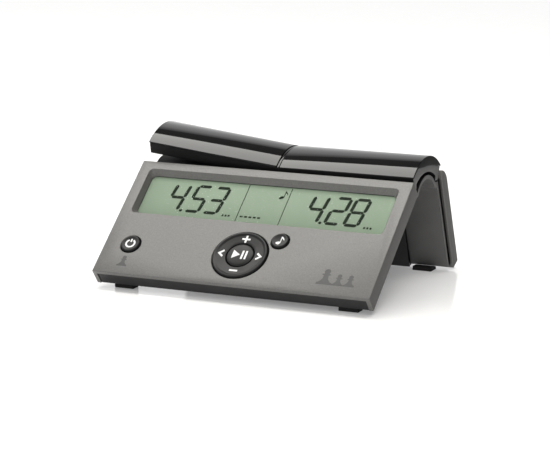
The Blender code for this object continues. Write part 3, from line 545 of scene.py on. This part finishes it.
def make_keys():
    dished_key("power_key", POWER, 5.0 * MM, 1.0 * MM, "power_button", 5.9 * MM)
    dished_key("sound_key", SOUND, 4.4 * MM, 1.0 * MM, "sound_button", 5.3 * MM)
    top = 0.7 * MM
    x, y = POWER
    power_icon = [ring_sector(POWER, 1.8 * MM, 2.75 * MM, 120, 420),
                  rectangle(x - 0.42 * MM, y + 0.9 * MM, x + 0.42 * MM, y + 3.3 * MM)]
    printed("power_icon", power_icon, top, PANEL, "power_button", "key_black", "icon_white")
    x, y = SOUND
    printed("sound_icon", note_outlines(x - 0.75 * MM, y - 1.7 * MM, 4.4 * MM), top, PANEL, "sound_button",
            "key_black", "icon_white")
    ring_profile = [(7.45, -3.6), (7.45, -0.05), (7.8, 0.2), (9.0, 0.28), (12.2, 0.4), (13.2, 0.8),
                    (13.75, 0.8), (14.15, 0.35), (14.25, -0.3), (14.25, -2.9), (15.25, -2.9), (15.25, -3.6)]
    ring = lathe("direction_ring", NAV, in_metres(ring_profile), PANEL, 128)
    round_edges(ring, 0.12 * MM, 3, 18)
    settle(ring, "nav_ring", "key_black", replaces=["nav_ring"])
    play_profile = [(0, 0.55), (5.2, 0.5), (6.4, 0.35), (6.9, 0.05), (7.05, -0.5), (7.05, -3.9),
                    (7.95, -3.9), (7.95, -4.5), (0, -4.5)]
    play = lathe("play_key", NAV, in_metres(play_profile), PANEL)
    round_edges(play, 0.12 * MM, 3, 15)
    settle(play, "play_pause_button", "key_black", replaces=["play_pause_button"])
    make_ring_icons()


def make_ring_icons():
    x, y = NAV
    arm, stroke = 2.2 * MM, 0.5 * MM
    reach = 10.0 * MM
    plus = [rectangle(x - arm, y + reach - stroke, x - stroke, y + reach + stroke),
            rectangle(x + stroke, y + reach - stroke, x + arm, y + reach + stroke),
            rectangle(x - stroke, y + reach - arm, x + stroke, y + reach + arm)]
    minus = [rectangle(x - arm, y - reach - stroke, x + arm, y - reach + stroke)]
    chevrons = []
    for side in (-1, 1):
        tip, tail, rise, width = 12.0 * MM, 9.2 * MM, 2.3 * MM, 1.15 * MM
        points = [(tip, 0), (tail, rise), (tail - width * 0.4, rise - width * 0.8), (tip - width * 1.35, 0),
                  (tail - width * 0.4, width * 0.8 - rise), (tail, -rise)]
        chevrons.append([(x + side * a, y + b) for a, b in points])
    printed("ring_icons", plus + minus + chevrons, 0.3 * MM, PANEL, "nav_ring", "key_black", "icon_white",
            0.15 * MM)
    triangle = [(x - 3.9 * MM, y - 2.6 * MM), (x + 0.1 * MM, y), (x - 3.9 * MM, y + 2.6 * MM)]
    bars = [rectangle(x + a * MM, y - 2.6 * MM, x + (a + 1.0) * MM, y + 2.6 * MM) for a in (0.9, 2.8)]
    printed("play_icon", [triangle] + bars, 0.55 * MM, PANEL, "play_pause_button", "key_black", "icon_white",
            0.04 * MM)


# ---- rocker lever -----------------------------------------------------------------------------
ARM_LENGTH = 74.0 * MM
CAP_RADIUS = 28.2 * MM
CAP_CENTRE = (78.7 * MM, 37.5 * MM)
CAP_EDGE_Z = 57.6 * MM
CAP_HALF_ANGLE = math.degrees(math.acos((CAP_EDGE_Z - CAP_CENTRE[1]) / CAP_RADIUS))
CAP_REAR_ANGLE = 47.5                    # degrees: where the cap's arc ends above the rear slab
ARM_TO_CAP = 0.05 * MM
SEAM_HALF = 0.9 * MM                     # each cap stops this far from the middle
SKIRT_LOW_Z = 51.1 * MM
PIVOT_IN_SECTION = Vector((ROCKER_PIVOT.y - SECTION_Y, ROCKER_PIVOT.z))
RAISE = Matrix.Rotation(-ROCKER_SWING / 2, 4, "Y")
UNDERSIDE = ((93.7, 58.5), (86.5, 59.9), (79.4, 60.7), (66.0, 61.4), (62.7, 60.4))


def from_axle(outline):
    return [(y - PIVOT_IN_SECTION.x, z - PIVOT_IN_SECTION.y) for y, z in outline]


def cap_outline(shrink=0.0):
    outline = arc(CAP_CENTRE, CAP_RADIUS - shrink, 90 + CAP_HALF_ANGLE, CAP_REAR_ANGLE, 64)
    outline += in_metres(((97.3, 57.6), *UNDERSIDE, (61.0, 57.6)))
    return from_axle(outline)


def make_arm(name, outline, side, length, seam, edge, slot, replaces):
    """One arm of the lever, cut square at the seam."""
    arm = prism(name, outline, -8 * MM, length, ROCKER)
    arm.data.transform(RAISE)
    if side < 0:
        arm.data.transform(Matrix.Scale(-1, 4, (1, 0, 0)))
        arm.data.flip_normals()
    near, far = sorted((-side * 20 * MM, side * seam))
    trim = block(name + "_seam_cut", (near, -40 * MM, -20 * MM), (far, 40 * MM, 40 * MM), ROCKER)
    combine(arm, trim)
    round_edges(arm, edge, 4, 32)
    done = settle(arm, "rocker", slot, replaces=replaces, smooth_angle=40)
    # The frame's end faces take the lighter grey copy and the rest stays near black: painted light and shade
    # on one moulding. The caps' ends take a matt black finish.
    finish = "cap_end_and_shade" if slot == "rocker_gloss" else "frame_end_lit"
    second_finish(done, finish, lambda normal: abs(normal.x) > 0.9)


def make_rocker():
    for label, side in (("left", -1), ("right", 1)):
        make_arm("gloss_cap_" + label, cap_outline(), side, ARM_LENGTH, SEAM_HALF, 0.4 * MM, "rocker_gloss",
                 ["rocker_cap_" + label])
    vault = arc((77.5 * MM, 33.2 * MM), 24.5 * MM, 57.1, 122.3, 48)
    outline = [(62.0 * MM, 51.6 * MM), (59.7 * MM, CAP_EDGE_Z - GAP)]
    under_cap = ((61.45, 57.6), (63.1, 60.3), *reversed(UNDERSIDE[:-1]), (97.2, 57.6))
    outline += [(y * MM, z * MM - ARM_TO_CAP) for y, z in under_cap]
    outline += [(94.0 * MM, SKIRT_LOW_Z), (90.8 * MM, SKIRT_LOW_Z), *vault, (64.4 * MM, 51.6 * MM)]
    for label, side, replaces in (("left", -1, ["rocker_frame"]), ("right", 1, [])):
        make_arm("lever_arm_" + label, from_axle(outline), side, ARM_LENGTH - GAP, 0.0, 0.15 * MM,
                 "frame_grey", replaces)
    trim = prism("seam_strip", cap_outline(0.25 * MM), -0.5 * MM, 0.5 * MM, ROCKER)
    round_edges(trim, 0.12 * MM, 2, 40)
    settle(trim, "rocker", "seam_trim", replaces=["rocker_seam_trim"])


# ---- ridge housing ----------------------------------------------------------------------------
RIDGE_HALF = 73.7 * MM
RIB_X = 40 * MM
PLUNGER_X = 14 * MM
REAR_SCREWS = ((-36 * MM, 31 * MM), (36 * MM, 31 * MM))
BAY_HALF_X = 52.9 * MM
BAY_LOW_Y, BAY_HIGH_Y = -1.5 * MM, 24 * MM


def panel_point(along, normal):
    return tuple((PANEL @ Vector((0, along, normal))).yz)


def rear_point(along, inward):
    return tuple((REAR @ Vector((0, along, inward))).yz)


def in_world(outline):
    return [(y + SECTION_Y, z) for y, z in outline]


def make_ridge_housing():
    """The arch under the lever, which runs on down as the rear slab's smooth inner face."""
    centre, radius, wall = (78.7 * MM, 40.5 * MM), 15.5 * MM, 1.9 * MM
    skin = -1.6 * MM
    back = -PANEL_THICK - GAP
    outline = [panel_point(60.3 * MM, back), panel_point(PANEL_LENGTH, back)]
    outline += in_world(arc(centre, radius, 150, 41, 64))
    outline += [rear_point(51 * MM, 0), rear_point(51 * MM, skin), rear_point(-1.2 * MM, skin)]
    outline += [rear_point(0, 0), rear_point(44 * MM, 0)]
    outline += in_world([(94.3 * MM, 45.9 * MM), (92.6 * MM, 47.3 * MM), (90.5 * MM, 47.9 * MM)])
    outline += in_world(arc(centre, radius - wall, 33, 150, 56))
    outline += [panel_point(PANEL_LENGTH - 1 * MM, back - wall), panel_point(60.3 * MM, back - wall)]
    housing = prism("ridge_shell", outline, -RIDGE_HALF, RIDGE_HALF, WORLD)
    rib = [panel_point(61 * MM, back - 0.8 * MM), panel_point(73.6 * MM, back - 0.8 * MM)]
    rib += in_world(arc(centre, radius - 1 * MM, 148, 36, 40))
    rib += in_world([(93.3 * MM, 48 * MM), (95 * MM, 45.9 * MM)]) + [rear_point(42 * MM, -0.5 * MM)]
    for label, x in (("left", -RIB_X), ("right", RIB_X)):
        combine(housing, prism("rib_" + label, rib, x - 0.8 * MM, x + 0.8 * MM, WORLD), "UNION")
    hub_y = in_world([(71.6 * MM, 0), (85.4 * MM, 0)])
    hub_slot = block("hub_slot", (-6.6 * MM, hub_y[0][0], 50 * MM), (6.6 * MM, hub_y[1][0], 60 * MM), WORLD)
    combine(housing, hub_slot)
    for side in (-1, 1):
        profile = [(0, 60 * MM), (1.75 * MM, 60 * MM), (1.75 * MM, 50 * MM), (0, 50 * MM)]
        guide = lathe("guide_%d" % side, (side * PLUNGER_X, ROCKER_PIVOT.y), profile, WORLD, 32)
        combine(housing, guide)
    room_x = BAY_HALF_X + GAP
    room = block("door_room", (-room_x, -5 * MM, -3 * MM), (room_x, BAY_HIGH_Y + GAP, 2 * MM), REAR)
    combine(housing, room)
    for index, (x, y) in enumerate(REAR_SCREWS):
        profile = [(0, 2 * MM), (1.3 * MM, 2 * MM), (1.3 * MM, -4 * MM), (0, -4 * MM)]
        combine(housing, lathe("screw_hole_%d" % index, (x, y), profile, REAR, 32))
    round_edges(housing, 0.25 * MM, 3, 32)
    done = settle(housing, "body", "base_black", "rear_inner", replaces=["ridge_housing"], smooth_angle=50)
    # Faces turned up or sideways, in the shadow under the lever, take the matt black as painted shade on the
    # dark grey moulding.
    second_finish(done, "cap_end_and_shade", lambda normal: normal.z > -0.05 and abs(normal.x) < 0.9)


# ---- rear slab --------------------------------------------------------------------------------
def make_rear_cover():
    nose = arc((46.1 * MM, 9.34 * MM - REAR_THICK), 9.34 * MM, -90, -33, 24)
    outline = [(-3.0 * MM, -REAR_THICK), *nose, (52.6 * MM, -5.2 * MM), (51.6 * MM, -REAR_SPLIT - GAP),
               (-3.17 * MM, -REAR_SPLIT - GAP), (-3.55 * MM, -4.7 * MM)]
    cover = prism("rear_shell", outline, -HALF, HALF, REAR)
    inner_nose = arc((45.9 * MM, 9.34 * MM - REAR_THICK), 7.7 * MM, -90, -36, 12)
    cavity = [(-1.4 * MM, 1.6 * MM - REAR_THICK), *inner_nose, (49.9 * MM, -5 * MM), (49.9 * MM, 0),
              (-1.4 * MM, 0)]
    combine(cover, prism("rear_cavity", cavity, 1.6 * MM - HALF, HALF - 1.6 * MM, REAR))
    round_edges(cover, 0.5 * MM, 4, 32)
    done = settle(cover, "body", "cover_silver", "rear_silver", replaces=["rear_cover"])
    # The side faces take the darker copy of the silver paint as painted shade.
    second_finish(done, "silver_side_shaded", lambda normal: abs(normal.x) > 0.9)


def make_rear_base():
    """The black tray between the rear cover and the housing's inner face, with the two cell bays."""
    half, wall, top = 72.4 * MM, 2.0 * MM, 49.8 * MM
    front_face = -1.9 * MM
    outline = [(-1.43 * MM, front_face), (top, front_face), (top, -REAR_SPLIT), (-2.94 * MM, -REAR_SPLIT)]
    base = prism("rear_tray", outline, -half, half, REAR)
    hollow = block("tray_hollow", (wall - half, 0.4 * MM, -12 * MM), (half - wall, 48 * MM, -3.4 * MM), REAR)
    combine(base, hollow)
    bay = block("bay_walls", (-BAY_HALF_X, BAY_LOW_Y, -9.2 * MM), (BAY_HALF_X, BAY_HIGH_Y, -GAP), REAR)
    combine(base, bay, "UNION")
    bay_wall, divider = 1.2 * MM, 12.9 * MM
    reach = BAY_HALF_X - bay_wall
    for label, low, high in (("low", BAY_LOW_Y + bay_wall, divider),
                             ("high", divider + bay_wall, BAY_HIGH_Y - bay_wall)):
        combine(base, block(label + "_bay", (-reach, low, -12 * MM), (reach, high, 4 * MM), REAR))
    round_edges(base, 0.2 * MM, 2, 32)
    settle(base, "body", "base_black", replaces=["rear_base"])


def make_battery_door():
    """A black plate, with a finger grip of five grooves."""
    thick = 1.1 * MM
    door = block("bay_door", (-BAY_HALF_X, BAY_LOW_Y, GAP), (BAY_HALF_X, BAY_HIGH_Y, GAP + thick), REAR)
    for step in range(5):
        y = (19.0 + 0.9 * step) * MM
        groove = block("grip_%d" % step, (-8 * MM, y, 1.15 * MM), (8 * MM, y + 0.45 * MM, 3 * MM), REAR)
        combine(door, groove)
    round_edges(door, 0.3 * MM, 3, 32)
    settle(door, "battery_door", "base_black", "rocker_gloss", replaces=["battery_door"])


def make_feet():
    """Rubber pads, each with softened edges."""
    for node in ("foot_front_left", "foot_front_right", "foot_rear_left", "foot_rear_right"):
        foot = bpy.data.objects.new(node + "_pad", frame["nodes"][node].data.copy())
        foot.matrix_world = frame["nodes"][node].matrix_world.copy()
        bpy.context.scene.collection.objects.link(foot)
        round_edges(foot, 0.25 * MM, 3, 30)
        settle(foot, "body", "rubber", replaces=[node])


# ---- light, floor and camera ------------------------------------------------------------------
CAMERA_AT = Vector((0.4976, -1.1036, 0.2769))
CAMERA_AIM = Vector((0.0054, -0.0163, 0.0311))
CAMERA_LENS = 158.8
LAMP_COLOUR = (1.0, 0.985, 0.95)


def make_camera():
    data = bpy.data.cameras.new("camera")
    data.lens = CAMERA_LENS
    data.sensor_width = 36.0
    camera = bpy.data.objects.new("camera", data)
    bpy.context.scene.collection.objects.link(camera)
    camera.location = CAMERA_AT
    camera.rotation_euler = (CAMERA_AIM - CAMERA_AT).to_track_quat("-Z", "Y").to_euler()
    bpy.context.scene.camera = camera


def make_area_light(name, location, aim, size_x, size_y, radiance):
    data = bpy.data.lights.new(name, "AREA")
    data.shape = "RECTANGLE"
    data.size = size_x
    data.size_y = size_y
    data.energy = radiance * math.pi * size_x * size_y
    data.color = LAMP_COLOUR
    light = bpy.data.objects.new(name, data)
    bpy.context.scene.collection.objects.link(light)
    light.location = location
    light.rotation_euler = (Vector(aim) - Vector(location)).to_track_quat("-Z", "Y").to_euler()


def grey_ramp(nodes, links, value, stops):
    """A ramp of greys over a value. Each stop is a position and its level."""
    node = nodes.new("ShaderNodeValToRGB")
    elements = node.color_ramp.elements
    elements[0].position, level = stops[0]
    elements[0].color = (level, level, level, 1)
    elements[1].position, level = stops[-1]
    elements[1].color = (level, level, level, 1)
    for position, level in stops[1:-1]:
        elements.new(position).color = (level, level, level, 1)
    links.new(value, node.inputs["Fac"])
    return node.outputs["Color"]


def make_world():
    """A white studio: darker overhead, where the softbox hangs, and darker beyond the right end."""
    world = bpy.data.worlds.new("studio")
    bpy.context.scene.world = world
    world.use_nodes = True
    nodes, links = world.node_tree.nodes, world.node_tree.links
    place = nodes.new("ShaderNodeTexCoord").outputs["Generated"]
    split = nodes.new("ShaderNodeSeparateXYZ")
    links.new(place, split.inputs["Vector"])
    overhead = grey_ramp(nodes, links, split.outputs["Z"], ((0.62, 1.0), (0.725, 0.5), (0.745, 0.12)))
    toward = nodes.new("ShaderNodeVectorMath")
    toward.operation = "DOT_PRODUCT"
    toward.inputs[1].default_value = (0.96, 0.28, 0.0)
    links.new(place, toward.inputs[0])
    beside = grey_ramp(nodes, links, toward.outputs["Value"], ((0.1, 1.0), (0.6, 0.04)))
    product = nodes.new("ShaderNodeMix")
    product.data_type = "RGBA"
    product.blend_type = "MULTIPLY"
    product.inputs["Factor"].default_value = 1.0
    links.new(overhead, product.inputs["A"])
    links.new(beside, product.inputs["B"])
    backdrop = nodes.new("ShaderNodeMix")
    backdrop.data_type = "RGBA"
    backdrop.inputs["B"].default_value = (1.0, 1.0, 1.0, 1)
    links.new(nodes.new("ShaderNodeLightPath").outputs["Is Camera Ray"], backdrop.inputs["Factor"])
    links.new(product.outputs["Result"], backdrop.inputs["A"])
    links.new(backdrop.outputs["Result"], nodes["Background"].inputs["Color"])


def make_floor():
    bm = bmesh.new()
    bmesh.ops.create_grid(bm, x_segments=1, y_segments=1, size=6.0)
    floor = place_mesh("floor", bm, WORLD)
    table = Surface("table", (0.88, 0.88, 0.88), 0.12, mottle=0.01)
    table.shader.inputs["Emission Color"].default_value = (1, 1, 1, 1)
    table.shader.inputs["Emission Strength"].default_value = 0.2
    floor.data.materials.append(table.material)


def finish_cad_nodes():
    """Give every carried-over CAD node the material of its slot."""
    for row in frame["record"]["subparts"]:
        node = frame["nodes"][row["node"]]
        node.data.materials.clear()
        node.data.materials.append(SURFACES[row["material_slot"]].material)
        node.data.shade_smooth()
        node.data.set_sharp_from_angle(angle=math.radians(35))


finish_cad_nodes()
make_front_cover()
make_display()
make_readout()
make_panel_marks()
make_keys()
make_rocker()
make_ridge_housing()
make_rear_cover()
make_rear_base()
make_battery_door()
make_feet()
drop_cutters()
make_floor()
make_world()
make_area_light("overhead_softbox", (-0.17, 0.075, 1.05), (-0.17, 0.075, 0.0), 1.44, 0.49, 5.8)
make_area_light("right_fill", (0.3, -0.38, 0.6), (0.08, -0.03, 0.03), 0.22, 0.22, 9.0)
make_camera()

bpy.context.scene.view_settings.view_transform = "Standard"
